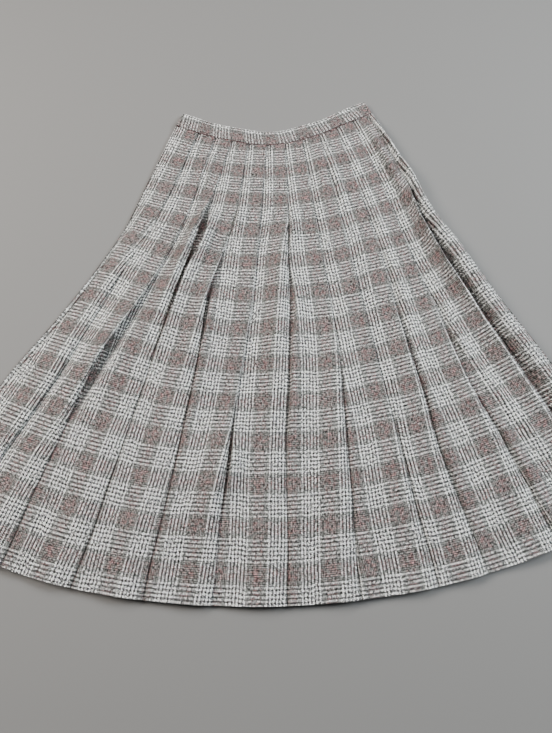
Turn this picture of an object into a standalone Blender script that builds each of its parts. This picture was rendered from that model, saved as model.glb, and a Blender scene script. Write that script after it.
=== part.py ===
# Knife-pleated wool skirt laid flat: waist towards +Y, hem towards -Y, front up
import math
from collections import namedtuple

import bmesh
import bpy
from mathutils import Vector

# Where the fan of pleats comes from: its apex, above the middle of the waist
APEX_X = -0.0014
APEX_Y = 0.7290

# Cloth, in metres
CLOTH_THICKNESS = 0.0012
LAYER_STEP = 0.0016
CLOTH_PER_PLEAT = 0.104
LEAST_OVERLAP = 0.004
TURN_MARGIN = 0.004
EDGE_MARGIN = 0.0015
SEAM_GAP = 0.0003

# Heights of the cloth's centre lines: a fold has its underlay below, its return, then its face
BACK_FACE_Z = CLOTH_THICKNESS / 2
BACK_UNDERLAY_Z = BACK_FACE_Z + 2 * LAYER_STEP
FRONT_UNDERLAY_Z = BACK_UNDERLAY_Z + LAYER_STEP
RETURN_Z = FRONT_UNDERLAY_Z + LAYER_STEP
FACE_Z = RETURN_Z + LAYER_STEP
SKIRT_FLIP_Z = BACK_FACE_Z + FACE_Z

# Waistband, side opening and its fastening
BAND_HEIGHT = 0.030
BAND_SEAM_GAP = 0.0006
BAND_THICKNESS = 0.0020
BAND_CORNER = 0.006
BAND_HALF_ANGLE = 26.0
BAND_POINTS = 36
BAND_FRONT_Z = 0.0074
UNDERLAP_Z = 0.0034
UNDERLAP_LENGTH = 0.032
ZIP_SHARE = 0.235
ZIP_END_LIFT = 0.0008
ZIP_WIDTH = 0.0030
ZIP_THICKNESS = 0.0014
SLIDER_LENGTH = 0.010
HOOK_LENGTH = 0.014
HOOK_WIDTH = 0.010
PLATE_THICKNESS = 0.0006

# Arcs of the waist seam and the hem: distance from the apex at an angle from the middle
Arc = namedtuple("Arc", "angle seam hem")
ARCS = [
    Arc(-27, 0.4100, 1.1590),
    Arc(-13, 0.4100, 1.1535),
    Arc(-2, 0.4120, 1.1450),
    Arc(10, 0.3960, 1.1395),
    Arc(18, 0.3840, 1.1350),
    Arc(27, 0.3790, 1.1290),
]

# Where each fold's edge runs, in degrees from the middle, at shares of the length below the waist
SHARES = (0, 0.177, 0.286, 0.395, 0.53, 0.667, 0.803, 1)
Edge = namedtuple("Edge", "name waist release hip thigh middle knee calf hem")
FRONT_EDGES = [
    Edge("side_left", -26.0, -24.1, -23.3, -23.5, -24.2, -25.2, -25.4, -25.7),
    Edge("fold_1", -20.0, -19.5, -19.8, -20.4, -21.0, -21.35, -22.1, -22.7),
    Edge("fold_2", -15.7, -15.2, -15.6, -16.6, -18.0, -18.5, -18.5, -18.5),
    Edge("fold_3", -11.5, -12.1, -12.4, -13.0, -13.2, -13.2, -13.3, -13.5),
    Edge("fold_4", -7.3, -7.2, -8.0, -8.8, -8.6, -8.55, -8.65, -8.8),
    Edge("fold_5", -2.9, -3.0, -3.1, -3.3, -3.7, -4.2, -4.3, -4.4),
    Edge("fold_6", 1.6, 1.65, 1.35, 1.35, 1.1, 0.65, 0.55, 0.5),
    Edge("fold_7", 6.0, 6.15, 6.25, 6.4, 6.35, 6.0, 5.6, 5.2),
    Edge("fold_8", 10.4, 10.3, 10.3, 10.3, 10.3, 10.2, 10.25, 10.3),
    Edge("fold_9", 15.1, 15.0, 14.75, 14.3, 13.8, 13.6, 13.4, 13.8),
    Edge("fold_10", 19.8, 19.4, 18.95, 18.55, 18.35, 18.15, 18.7, 19.1),
    Edge("fold_11", 24.7, 23.9, 23.1, 23.0, 23.15, 23.6, 23.9, 24.4),
    Edge("side_right", 26.0, 25.8, 25.1, 25.7, 25.8, 26.2, 26.5, 26.7),
]
BACK_SIDES = [
    Edge("back_left", -26.0, -24.3, -23.5, -23.8, -24.6, -25.6, -25.9, -26.1),
    Edge("back_right", 26.0, 25.8, 25.3, 25.9, 26.1, 26.5, 26.8, 27.0),
]
BACK_FOLDS = 11
BACK_UNEVENNESS = 0.25

# How each fold opens: the return rolls out beside the crease, and the edge stands up over a gap
Opening = namedtuple("Opening", "roll_from roll_hem hem_lift gap_at gap_spread gap_lift")
FRONT_OPENINGS = [
    Opening(0.67, 0.012, 0.004, 0.60, 0.10, 0.003),
    Opening(0.60, 0.024, 0.006, 0.55, 0.12, 0.007),
    Opening(0.20, 0.028, 0.006, 0.26, 0.09, 0.010),
    Opening(0.42, 0.033, 0.006, 0.46, 0.08, 0.008),
    Opening(0.72, 0.022, 0.005, 0.76, 0.07, 0.005),
    Opening(0.20, 0.026, 0.006, 0.40, 0.15, 0.006),
    Opening(0.50, 0.022, 0.005, 0.70, 0.10, 0.003),
    Opening(0.70, 0.017, 0.004, 0.80, 0.10, 0.002),
    Opening(0.50, 0.022, 0.005, 0.62, 0.12, 0.005),
    Opening(0.70, 0.024, 0.006, 0.80, 0.10, 0.005),
    Opening(0.20, 0.016, 0.010, 0.45, 0.22, 0.012),
]
BACK_OPENING = Opening(0.45, 0.018, 0.0, 0.5, 0.1, 0.0)
RELEASE_SHARE = 0.177
ROLL_POWER = 0.65
SIDE_CROWN = 0.004
CREST_KEPT = 0.35

# Rings of each wall, as shares of the length
FRONT_RINGS = (0, 0.06, 0.13, 0.177, 0.235, 0.29, 0.35, 0.42, 0.50, 0.58, 0.67, 0.76, 0.88, 1)
BACK_RINGS = (0, 0.09, 0.177, 0.235, 0.30, 0.42, 0.58, 0.76, 1)


def smooth_value(places, values, place):
    """Value at a place on a smooth curve through the listed values."""
    last = len(places) - 1
    index = 0
    while index < last - 1 and place > places[index + 1]:
        index += 1
    slopes = []
    for near in (index, index + 1):
        before = max(near - 1, 0)
        after = min(near + 1, last)
        slopes.append((values[after] - values[before]) / (places[after] - places[before]))
    span = places[index + 1] - places[index]
    part = min(max((place - places[index]) / span, 0), 1)
    square = part * part
    cube = square * part
    start = (2 * cube - 3 * square + 1) * values[index]
    start += (cube - 2 * square + part) * span * slopes[0]
    end = (3 * square - 2 * cube) * values[index + 1]
    end += (cube - square) * span * slopes[1]
    return start + end


def seam_radius(angle):
    """Distance of the waist seam from the apex, at an angle in degrees."""
    return smooth_value([row.angle for row in ARCS], [row.seam for row in ARCS], angle)


def hem_radius(angle):
    """Distance of the hem from the apex, at an angle in degrees."""
    return smooth_value([row.angle for row in ARCS], [row.hem for row in ARCS], angle)


def radius_at(angle, share):
    """Distance from the apex at a share of the way from the waist seam to the hem."""
    seam = seam_radius(angle)
    return seam + share * (hem_radius(angle) - seam)


def fan_point(angle, radius, height):
    """A point of the fan, from its angle in degrees, its distance from the apex and its height."""
    turn = math.radians(angle)
    return Vector((APEX_X + radius * math.sin(turn), APEX_Y - radius * math.cos(turn), height))


def degrees_for(length, radius):
    """The angle in degrees that a length takes up along an arc."""
    return math.degrees(length / radius)


def edge_angle(edge, share):
    """Angle of a fold's edge at a share of the length."""
    return smooth_value(SHARES, edge[1:], share)


def opened(share):
    """How far the pleats are released: 0 down to the end of the stitching, then up to 1."""
    return max(share - RELEASE_SHARE, 0) / (1 - RELEASE_SHARE)


def roll_width(opening, share):
    """How much of the return shows beside the crease."""
    if share <= opening.roll_from:
        return 0.0
    part = (share - opening.roll_from) / (1 - opening.roll_from)
    return opening.roll_hem * part ** ROLL_POWER


def fold_lift(opening, share):
    """How far a fold's crest stands above its flat height."""
    away = (share - opening.gap_at) / opening.gap_spread
    bump = opening.gap_lift * math.exp(-away * away)
    free = min(opened(share) * 6, 1)
    return free * (bump + opening.hem_lift * opened(share))


def section(angles, openings, share, crown, end_lift):
    """Centre line of the folded wall across the skirt, as (angle, height) points."""
    points = [
        (angles[0], FRONT_UNDERLAY_Z),
        (angles[0] + degrees_for(TURN_MARGIN, radius_at(angles[0], share)), FRONT_UNDERLAY_Z),
    ]
    for before, angle, opening in zip(angles, angles[1:-1], openings):
        radius = radius_at(angle, share)
        pitch = math.radians(angle - before) * radius
        room = pitch - EDGE_MARGIN - 2 * TURN_MARGIN
        overlap = min(max((CLOTH_PER_PLEAT - pitch) / 2, LEAST_OVERLAP), room)
        roll = roll_width(opening, share)
        lift = fold_lift(opening, share)
        crest = max(roll, overlap * 0.2)
        rise_end = max(overlap + TURN_MARGIN, crest + TURN_MARGIN)
        edge_lift = lift * (1 - (1 - CREST_KEPT) * min(roll / 0.02, 1))
        for offset, height in (
            (rise_end, FACE_Z + lift * 0.5),
            (crest, FACE_Z + lift),
            (0, FACE_Z + edge_lift),
            (0, RETURN_Z),
            (overlap, RETURN_Z),
            (overlap, FRONT_UNDERLAY_Z),
            (-EDGE_MARGIN, FRONT_UNDERLAY_Z),
        ):
            points.append((angle - degrees_for(offset, radius), height))
    last = angles[-1]
    radius = radius_at(last, share)
    fold = angles[-2]
    width = math.radians(last - fold) * radius - EDGE_MARGIN
    side_height = RETURN_Z + (FACE_Z + crown - RETURN_Z) * min(opened(share) * 6, 1)
    for part, height in (
        (0.62, side_height),
        (0.38, side_height),
        (0.14, FRONT_UNDERLAY_Z + end_lift),
        (0.0, FRONT_UNDERLAY_Z + end_lift),
    ):
        points.append((last - degrees_for(width * part, radius), height))
    return points


def offset_line(points, share, distance):
    """The centre line moved sideways by a distance, with square corners kept square."""
    flat = []
    for angle, height in points:
        flat.append(Vector((math.radians(angle) * radius_at(angle, share), height)))
    moved = []
    for index, point in enumerate(flat):
        normals = []
        for first, second in ((index - 1, index), (index, index + 1)):
            if first >= 0 and second < len(flat):
                along = (flat[second] - flat[first]).normalized()
                normals.append(Vector((-along.y, along.x)))
        push = normals[0] + normals[-1]
        push = push * (distance * 2 / push.length_squared)
        radius = radius_at(points[index][0], share)
        moved.append((points[index][0] + degrees_for(push.x, radius), point.y + push.y))
    return moved


def new_material(name, colour, roughness, metallic):
    """A plain material for one sub-part."""
    material = bpy.data.materials.new(name)
    material.use_nodes = True
    shader = material.node_tree.nodes["Principled BSDF"]
    shader.inputs["Base Color"].default_value = (*colour, 1)
    shader.inputs["Roughness"].default_value = roughness
    shader.inputs["Metallic"].default_value = metallic
    return material


def wall_object(name, rings, material):
    """A closed wall from rings; each ring is its outer line and its inner line."""
    mesh = bmesh.new()
    loops = []
    for outer, inner in rings:
        loops.append([mesh.verts.new(point) for point in outer + inner[::-1]])
    count = len(loops[0])
    for upper, lower in zip(loops, loops[1:]):
        for index in range(count):
            after = (index + 1) % count
            mesh.faces.new((upper[index], upper[after], lower[after], lower[index]))
    half = count // 2
    for loop in (loops[0], loops[-1]):
        for index in range(half - 1):
            across = count - 1 - index
            mesh.faces.new((loop[index], loop[index + 1], loop[across - 1], loop[across]))
    bmesh.ops.recalc_face_normals(mesh, faces=mesh.faces[:])
    if mesh.calc_volume(signed=True) < 0:
        bmesh.ops.reverse_faces(mesh, faces=mesh.faces[:])
    data = bpy.data.meshes.new(name)
    mesh.to_mesh(data)
    mesh.free()
    data.materials.append(material)
    item = bpy.data.objects.new(name, data)
    bpy.context.scene.collection.objects.link(item)
    return item


def wall_ring(points, share, thickness):
    """Outer and inner points of one ring of a pleated wall."""
    sides = []
    for distance in (thickness / 2, -thickness / 2):
        side = []
        for angle, height in offset_line(points, share, distance):
            side.append(fan_point(angle, radius_at(angle, share), height))
        sides.append(side)
    return sides


def make_front_panel(material):
    """The pleated front, with its folds where the tables put them."""
    rings = []
    for share in FRONT_RINGS:
        angles = [edge_angle(edge, share) for edge in FRONT_EDGES]
        end_lift = ZIP_END_LIFT if share <= ZIP_SHARE else 0
        points = section(angles, FRONT_OPENINGS, share, SIDE_CROWN, end_lift)
        rings.append(wall_ring(points, share, CLOTH_THICKNESS))
    return wall_object("front_panel", rings, material)


def make_back_panel(material):
    """The pleated back: the same folding turned over, flat where it rests."""
    left, right = BACK_SIDES
    rings = []
    for share in BACK_RINGS:
        start = -edge_angle(right, share)
        end = -edge_angle(left, share)
        pitch = (end - start) / (BACK_FOLDS + 0.5)
        angles = [start]
        for number in range(1, BACK_FOLDS + 1):
            uneven = BACK_UNEVENNESS * math.sin(number * 2.3) * opened(share)
            angles.append(start + pitch * number + uneven)
        angles.append(end)
        openings = [BACK_OPENING] * BACK_FOLDS
        points = section(angles, openings, share, 0, 0)
        if share <= ZIP_SHARE:
            points[0] = (points[0][0], FRONT_UNDERLAY_Z + ZIP_END_LIFT)
            points[1] = (points[1][0], FRONT_UNDERLAY_Z + ZIP_END_LIFT)
        turned = [(-angle, SKIRT_FLIP_Z - height) for angle, height in reversed(points)]
        rings.append(wall_ring(turned, share, CLOTH_THICKNESS))
    return wall_object("back_panel", rings, material)


def band_line(trim):
    """Centre line of the waistband: front, round the left side, back, and the underlap."""
    end = BAND_HALF_ANGLE - trim
    points = []
    for index in range(BAND_POINTS + 1):
        points.append((end - (end + BAND_HALF_ANGLE) * index / BAND_POINTS, BAND_FRONT_Z))
    for index in range(BAND_POINTS + 1):
        share = index / BAND_POINTS
        points.append((BAND_HALF_ANGLE * (2 * share - 1), BAND_THICKNESS / 2))
    radius = seam_radius(BAND_HALF_ANGLE)
    points.append((BAND_HALF_ANGLE, UNDERLAP_Z))
    points.append((BAND_HALF_ANGLE - degrees_for(UNDERLAP_LENGTH, radius), UNDERLAP_Z))
    return points


def make_waistband(material):
    """One strip round the waist, its free end a rounded corner over the underlap."""
    rings = []
    rows = (
        (BAND_SEAM_GAP, 0),
        (BAND_HEIGHT * 0.6, 0),
        (BAND_HEIGHT - BAND_CORNER * 0.5, BAND_CORNER * 0.25),
        (BAND_HEIGHT, BAND_CORNER),
    )
    for above, corner in rows:
        trim = degrees_for(corner, seam_radius(BAND_HALF_ANGLE))
        sides = []
        for distance in (BAND_THICKNESS / 2, -BAND_THICKNESS / 2):
            side = []
            for angle, height in offset_line(band_line(trim), 0, distance):
                side.append(fan_point(angle, seam_radius(angle) - above, height))
            sides.append(side)
        rings.append(sides)
    return wall_object("waistband", rings, material)


def strip_ring(share, inset, width, low, high):
    """Four corners of a strip that follows the right side edge, as outer and inner lines."""
    angle = edge_angle(FRONT_EDGES[-1], share)
    radius = radius_at(angle, share)
    near = angle - degrees_for(inset, radius)
    far = angle - degrees_for(inset + width, radius)
    outer = [fan_point(near, radius, high), fan_point(far, radius, high)]
    inner = [fan_point(near, radius, low), fan_point(far, radius, low)]
    return outer, inner


def make_zip(tape_material, metal):
    """The closed chain in the side opening and the slider at its top."""
    length = hem_radius(BAND_HALF_ANGLE) - seam_radius(BAND_HALF_ANGLE)
    middle = SKIRT_FLIP_Z / 2
    low = middle - ZIP_THICKNESS / 2
    high = middle + ZIP_THICKNESS / 2
    start = (SLIDER_LENGTH + 2 * SEAM_GAP) / length
    end = ZIP_SHARE - 0.01
    steps = 12
    rings = []
    for index in range(steps + 1):
        share = start + (end - start) * index / steps
        rings.append(strip_ring(share, SEAM_GAP, ZIP_WIDTH, low, high))
    wall_object("zip_chain", rings, tape_material)
    rings = []
    for share in (SEAM_GAP / length, SLIDER_LENGTH / length):
        rings.append(strip_ring(share, -SEAM_GAP, ZIP_WIDTH + SEAM_GAP, low, high))
    slider = wall_object("zip_slider", rings, metal)
    bevel = slider.modifiers.new("rounded", "BEVEL")
    bevel.width = 0.0003
    bevel.segments = 1


def plate(name, inset, low, material):
    """A flat metal plate between the waistband's ends."""
    angle = BAND_HALF_ANGLE - degrees_for(inset, seam_radius(BAND_HALF_ANGLE))
    radius = seam_radius(BAND_HALF_ANGLE) - BAND_HEIGHT / 2
    far = angle - degrees_for(HOOK_LENGTH, radius)
    rings = []
    for reach in (HOOK_WIDTH / 2, -HOOK_WIDTH / 2):
        outer = [fan_point(turn, radius + reach, low + PLATE_THICKNESS) for turn in (angle, far)]
        inner = [fan_point(turn, radius + reach, low) for turn in (angle, far)]
        rings.append((outer, inner))
    item = wall_object(name, rings, material)
    bevel = item.modifiers.new("rounded", "BEVEL")
    bevel.width = 0.0001
    bevel.segments = 1


def main():
    """Clear the scene and build the skirt."""
    for item in list(bpy.data.objects):
        bpy.data.objects.remove(item, do_unlink=True)
    wool = new_material("wool_check", (0.33, 0.31, 0.31), 0.9, 0)
    band = new_material("waistband_check", (0.31, 0.28, 0.29), 0.9, 0)
    tape = new_material("zip_nylon", (0.16, 0.09, 0.10), 0.5, 0)
    metal = new_material("nickel", (0.55, 0.54, 0.52), 0.3, 1)
    make_front_panel(wool)
    make_back_panel(wool)
    make_waistband(band)
    make_zip(tape, metal)
    plate("waist_bar", 0.010, UNDERLAP_Z + BAND_THICKNESS / 2 + SEAM_GAP, metal)
    plate("waist_hook", 0.008, BAND_FRONT_Z - BAND_THICKNESS / 2 - SEAM_GAP - PLATE_THICKNESS, metal)


main()
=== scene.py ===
import math
import bmesh
import bpy
import numpy as np
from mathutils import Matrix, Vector


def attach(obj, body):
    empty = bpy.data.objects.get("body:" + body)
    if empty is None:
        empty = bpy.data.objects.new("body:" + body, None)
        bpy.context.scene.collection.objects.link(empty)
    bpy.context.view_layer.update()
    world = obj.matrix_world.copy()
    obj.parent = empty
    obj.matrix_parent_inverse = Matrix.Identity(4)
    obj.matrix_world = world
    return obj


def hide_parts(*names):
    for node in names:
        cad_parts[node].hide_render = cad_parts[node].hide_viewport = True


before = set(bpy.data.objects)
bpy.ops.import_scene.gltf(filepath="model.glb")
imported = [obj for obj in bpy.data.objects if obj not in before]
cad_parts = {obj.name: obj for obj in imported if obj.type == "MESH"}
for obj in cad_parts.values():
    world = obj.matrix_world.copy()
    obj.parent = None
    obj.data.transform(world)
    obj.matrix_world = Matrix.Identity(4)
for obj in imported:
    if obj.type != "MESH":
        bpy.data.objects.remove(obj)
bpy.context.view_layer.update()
collection = bpy.context.scene.collection

# The fan that every pleat follows, and the heights of the folded layers, in metres
fan = {
    "apexX": -0.0014,
    "apexY": 0.7290,
    "arcs": [(-27, 0.4100, 1.1590), (-13, 0.4100, 1.1535), (-2, 0.4120, 1.1450),
             (10, 0.3960, 1.1395), (18, 0.3840, 1.1350), (27, 0.3790, 1.1290)],      # angle, seam, hem
    "clothPerPleat": 0.104,
    "leastOverlap": 0.004,
    "turnMargin": 0.004,
    "edgeMargin": 0.0015,
    "shell": 0.0009,            # thickness of the cloth
    "sharpAngle": 70,
    "backZ": 0.0006,
    "underlayZ": 0.0054,
    "returnZ": 0.0070,
    "faceZ": 0.0086,
    "releaseShare": 0.177,      # where the stitching ends, of the length below the waist
    "freeOver": 0.07,           # share over which the pleats come free
}

shares = (0, 0.177, 0.286, 0.395, 0.53, 0.667, 0.803, 1)      # of the length, below the waist

# Where each fold's edge runs, in degrees from the middle, at those shares
edgeAngles = {
    "sideLeft": (-26.0, -24.0, -23.15, -23.3, -23.9, -24.9, -25.4, -25.7),
    "fold1": (-20.0, -19.5, -19.8, -20.4, -21.0, -21.35, -22.1, -22.7),
    "fold2": (-15.7, -15.2, -15.5, -16.3, -17.6, -18.45, -18.5, -18.5),
    "fold3": (-11.5, -12.1, -12.5, -13.05, -13.2, -13.2, -13.3, -13.5),
    "fold4": (-7.3, -7.2, -8.0, -8.8, -8.6, -8.55, -8.65, -8.8),
    "fold5": (-2.9, -3.0, -3.1, -3.3, -3.7, -4.2, -4.3, -4.4),
    "fold6": (1.6, 1.65, 1.35, 1.35, 1.1, 0.65, 0.55, 0.5),
    "fold7": (6.0, 6.15, 6.25, 6.4, 6.35, 6.0, 5.6, 5.2),
    "fold8": (10.4, 10.3, 10.3, 10.3, 10.3, 10.2, 10.25, 10.3),
    "fold9": (15.1, 15.0, 14.75, 14.3, 13.8, 13.6, 13.4, 13.8),
    "fold10": (19.8, 19.4, 18.95, 18.55, 18.35, 18.15, 18.7, 19.1),
    "fold11": (24.7, 23.7, 22.45, 22.2, 22.6, 23.1, 23.6, 24.4),
    "sideRight": (26.0, 25.8, 25.1, 25.7, 25.8, 26.2, 26.5, 26.7),
}
backSides = {
    "backLeft": (-26.0, -24.3, -23.5, -23.8, -24.6, -25.6, -25.9, -26.1),
    "backRight": (26.0, 25.8, 25.3, 25.9, 26.1, 26.5, 26.8, 27.0),
}

# How far the pressed crease has moved left of each edge as the pleat opens, in degrees
creaseAway = {
    "fold1": (0, 0, 0.3, 0.9, 1.0, 0.7, 0.6, 0.6),
    "fold2": (0, 0, 0, 0, 0.05, 0.3, 1.2, 1.5),
    "fold3": (0, 0.1, 0.6, 0.75, 1.1, 1.35, 1.4, 1.4),
    "fold4": (0, 0, 0, 0.1, 0.9, 1.35, 1.6, 1.6),
    "fold5": (0, 0, 0, 0, 0, 0.05, 0.7, 1.06),
    "fold6": (0, 0.2, 0.85, 1.3, 1.5, 1.35, 1.3, 1.3),
    "fold7": (0, 0, 0, 0, 0.25, 0.6, 0.85, 1.1),
    "fold8": (0, 0, 0, 0, 0, 0.05, 0.45, 0.85),
    "fold9": (0, 0, 0, 0.2, 0.2, 0.4, 0.65, 1.1),
    "fold10": (0, 0, 0, 0, 0.15, 0.2, 0.9, 1.2),
    "fold11": (0, 0.2, 0.25, 0.3, 0.35, 0.4, 0.5, 0.9),
}

# How each fold stands up: lift at the hem, then share, spread and lift of its highest part, and how
# late its face rises
standing = {
    "fold1": (0.004, 0.62, 0.14, 0.003, 2.0),
    "fold2": (0.005, 0.56, 0.13, 0.014, 2.4),
    "fold3": (0.005, 0.27, 0.16, 0.016, 2.6),
    "fold4": (0.005, 0.44, 0.11, 0.010, 2.4),
    "fold5": (0.004, 0.76, 0.08, 0.012, 2.4),
    "fold6": (0.005, 0.38, 0.18, 0.009, 2.2),
    "fold7": (0.004, 0.68, 0.14, 0.004, 2.0),
    "fold8": (0.004, 0.80, 0.12, 0.003, 2.0),
    "fold9": (0.004, 0.62, 0.14, 0.005, 2.0),
    "fold10": (0.005, 0.72, 0.14, 0.006, 2.2),
    "fold11": (0.007, 0.42, 0.34, 0.015, 4.0),
}

# Dark gaps just right of a fold's edge: share, spread, width, height of the wall beyond, run of that
# wall, and how far it takes to come down again
grooves = {
    "fold1": [(0.34, 0.14, 0.000, 0.0035, 0.002, 0.024), (0.70, 0.14, 0.003, 0.004, 0.010, 0.020)],
    "fold2": [(0.60, 0.11, 0.006, 0.011, 0.016, 0.022), (0.95, 0.20, 0.001, 0.004, 0.005, 0.020)],
    "fold3": [(0.275, 0.070, 0.012, 0.016, 0.003, 0.014), (0.43, 0.10, 0.006, 0.012, 0.003, 0.018),
              (0.80, 0.35, 0.0015, 0.0048, 0.004, 0.020)],
    "fold4": [(0.20, 0.05, 0.002, 0.008, 0.003, 0.012), (0.46, 0.07, 0.0045, 0.010, 0.003, 0.016),
              (0.63, 0.13, 0.003, 0.009, 0.004, 0.018), (0.92, 0.18, 0.0015, 0.0045, 0.004, 0.018)],
    "fold5": [(0.75, 0.068, 0.0038, 0.0145, 0.003, 0.016)],
    "fold6": [(0.24, 0.06, 0.003, 0.009, 0.003, 0.014), (0.43, 0.08, 0.008, 0.010, 0.003, 0.016),
              (0.62, 0.13, 0.003, 0.0085, 0.004, 0.018), (0.92, 0.20, 0.0015, 0.0045, 0.004, 0.018)],
    "fold7": [(0.80, 0.30, 0.0015, 0.0048, 0.004, 0.016)],
    "fold8": [(0.86, 0.24, 0.0015, 0.0048, 0.004, 0.016)],
    "fold9": [(0.45, 0.16, 0.004, 0.0055, 0.010, 0.016), (0.76, 0.20, 0.003, 0.0070, 0.005, 0.016)],
    "fold10": [(0.54, 0.08, 0.004, 0.0060, 0.010, 0.018), (0.86, 0.16, 0.003, 0.0095, 0.005, 0.018)],
}

# Creases left by folding away: degrees and radius at both ends, width, height
creases = [
    (25.3, 0.370, 24.9, 0.540, 0.0055, 0.0110),
    (22.9, 0.385, 22.0, 0.590, 0.0075, 0.0110),
    (-20.9, 0.560, -21.6, 0.800, 0.0120, 0.0030),
    (8.9, 0.405, 9.0, 0.570, 0.0075, 0.0040),
    (11.5, 0.400, 11.6, 0.570, 0.0080, 0.0040),
    (-16.7, 0.440, -14.1, 0.540, 0.0045, 0.0035),
    (-14.9, 0.440, -12.9, 0.530, 0.0045, 0.0035),
    (-24.0, 0.490, -21.5, 0.560, 0.0050, 0.0015),
    (18.7, 0.780, 20.7, 0.990, 0.0060, 0.0065),
    (20.2, 0.890, 21.9, 1.060, 0.0065, 0.0060),
    (20.0, 0.780, 22.0, 0.960, 0.0060, -0.0022),
    (19.1, 0.900, 20.4, 1.060, 0.0055, -0.0020),
    (7.9, 0.620, 8.4, 0.860, 0.0080, 0.0012),
    (-6.2, 0.600, -6.8, 0.900, 0.0100, 0.0012),
    (3.4, 0.760, 2.8, 1.120, 0.0110, -0.0012),
    (12.2, 0.560, 12.0, 0.820, 0.0080, 0.0012),
    (16.6, 0.600, 16.0, 0.900, 0.0080, -0.0014),
    (-17.2, 0.900, -17.6, 1.140, 0.0110, 0.0016),
]


def smoothValue(places, values, place):      # cubic through the listed values
    places = np.asarray(places, float)
    values = np.asarray(values, float)
    near = np.arange(len(places))
    before = np.maximum(near - 1, 0)
    after = np.minimum(near + 1, len(places) - 1)
    slopes = (values[after] - values[before]) / (places[after] - places[before])
    index = np.clip(np.searchsorted(places, place, side="left") - 1, 0, len(places) - 2)
    span = places[index + 1] - places[index]
    part = np.clip((place - places[index]) / span, 0, 1)
    start = (2 * part**3 - 3 * part**2 + 1) * values[index]
    start = start + (part**3 - 2 * part**2 + part) * span * slopes[index]
    end = (3 * part**2 - 2 * part**3) * values[index + 1]
    return start + end + (part**3 - part**2) * span * slopes[index + 1]


def seamRadius(angle):
    return smoothValue([row[0] for row in fan["arcs"]], [row[1] for row in fan["arcs"]], angle)


def hemRadius(angle):
    return smoothValue([row[0] for row in fan["arcs"]], [row[2] for row in fan["arcs"]], angle)


def radiusAt(angle, share):
    seam = seamRadius(angle)
    return seam + share * (hemRadius(angle) - seam)


def fanPoints(angle, radius, height):      # arrays of angle, radius, height to points
    turn = np.radians(angle)
    across = fan["apexX"] + radius * np.sin(turn)
    along = fan["apexY"] - radius * np.cos(turn)
    return np.stack(np.broadcast_arrays(across, along, height), axis=-1)


def released(share):
    return max(share - fan["releaseShare"], 0) / (1 - fan["releaseShare"])


def opened(share, start):      # how far the pleats have come free of the stitching
    return min(max((share - start) / fan["freeOver"], 0), 1)


def easing(value):
    value = np.clip(value, 0, 1)
    return value * value * (3 - 2 * value)


def bell(value, middle, spread):      # one at the middle, soft to nothing on both sides
    return math.exp(-(((value - middle) / spread) ** 2))


# Points across one pleat
samples = {
    "hidden": 3,      # along the underlay, under the fold before
    "near": 9,        # of the face, close to the fold before
    "face": 20,       # along the whole face that shows
    "roll": 5,        # from the pressed crease over to the edge
    "turn": 4,        # round the edge
    "turnShown": 2,   # of those, the ones that can be seen
    "inside": 4,      # back under the face
    "pastCrease": 8,  # past the crease where the cloth's length is still true
}

# One pleat's section, in metres and in parts of its width
pleat = {
    "freeFrom": 0.15,         # share of the length where the fold starts to lift
    "deepest": 0.7,           # most of the pitch that goes under
    "leastCrest": 0.0025,     # from the edge to the top of the fold
    "edgeSag": 0.85,          # part of the lift that a rolled edge loses
    "sagRoll": 0.016,         # roll at which it has lost all that
    "largestBend": 0.0016,    # radius of the edge
    "soonerBy": 0.4,          # towards the hem the face rises sooner
    "soonerFrom": 0.4,
    "soonerOver": 0.35,
    "riseGrowth": 3,          # how fast the rise widens to the whole face
    "riseLimit": 1.12,        # up before it meets the layers below
    "ramp": 0.55,             # straight part of the rise
    "rampEased": 0.45,
    "nearWidth": 0.016,       # where the face has its points close together
    "nearPart": 0.35,
    "dropEven": 0.35,         # from the crease to the edge
    "dropLate": 0.65,
    "insideFall": 3,          # powers of the hidden layer's fall and of its points' spacing
    "insideSpacing": 1.5,
    "clearance": 0.0014,      # from the face down to the hidden layer
}


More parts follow.
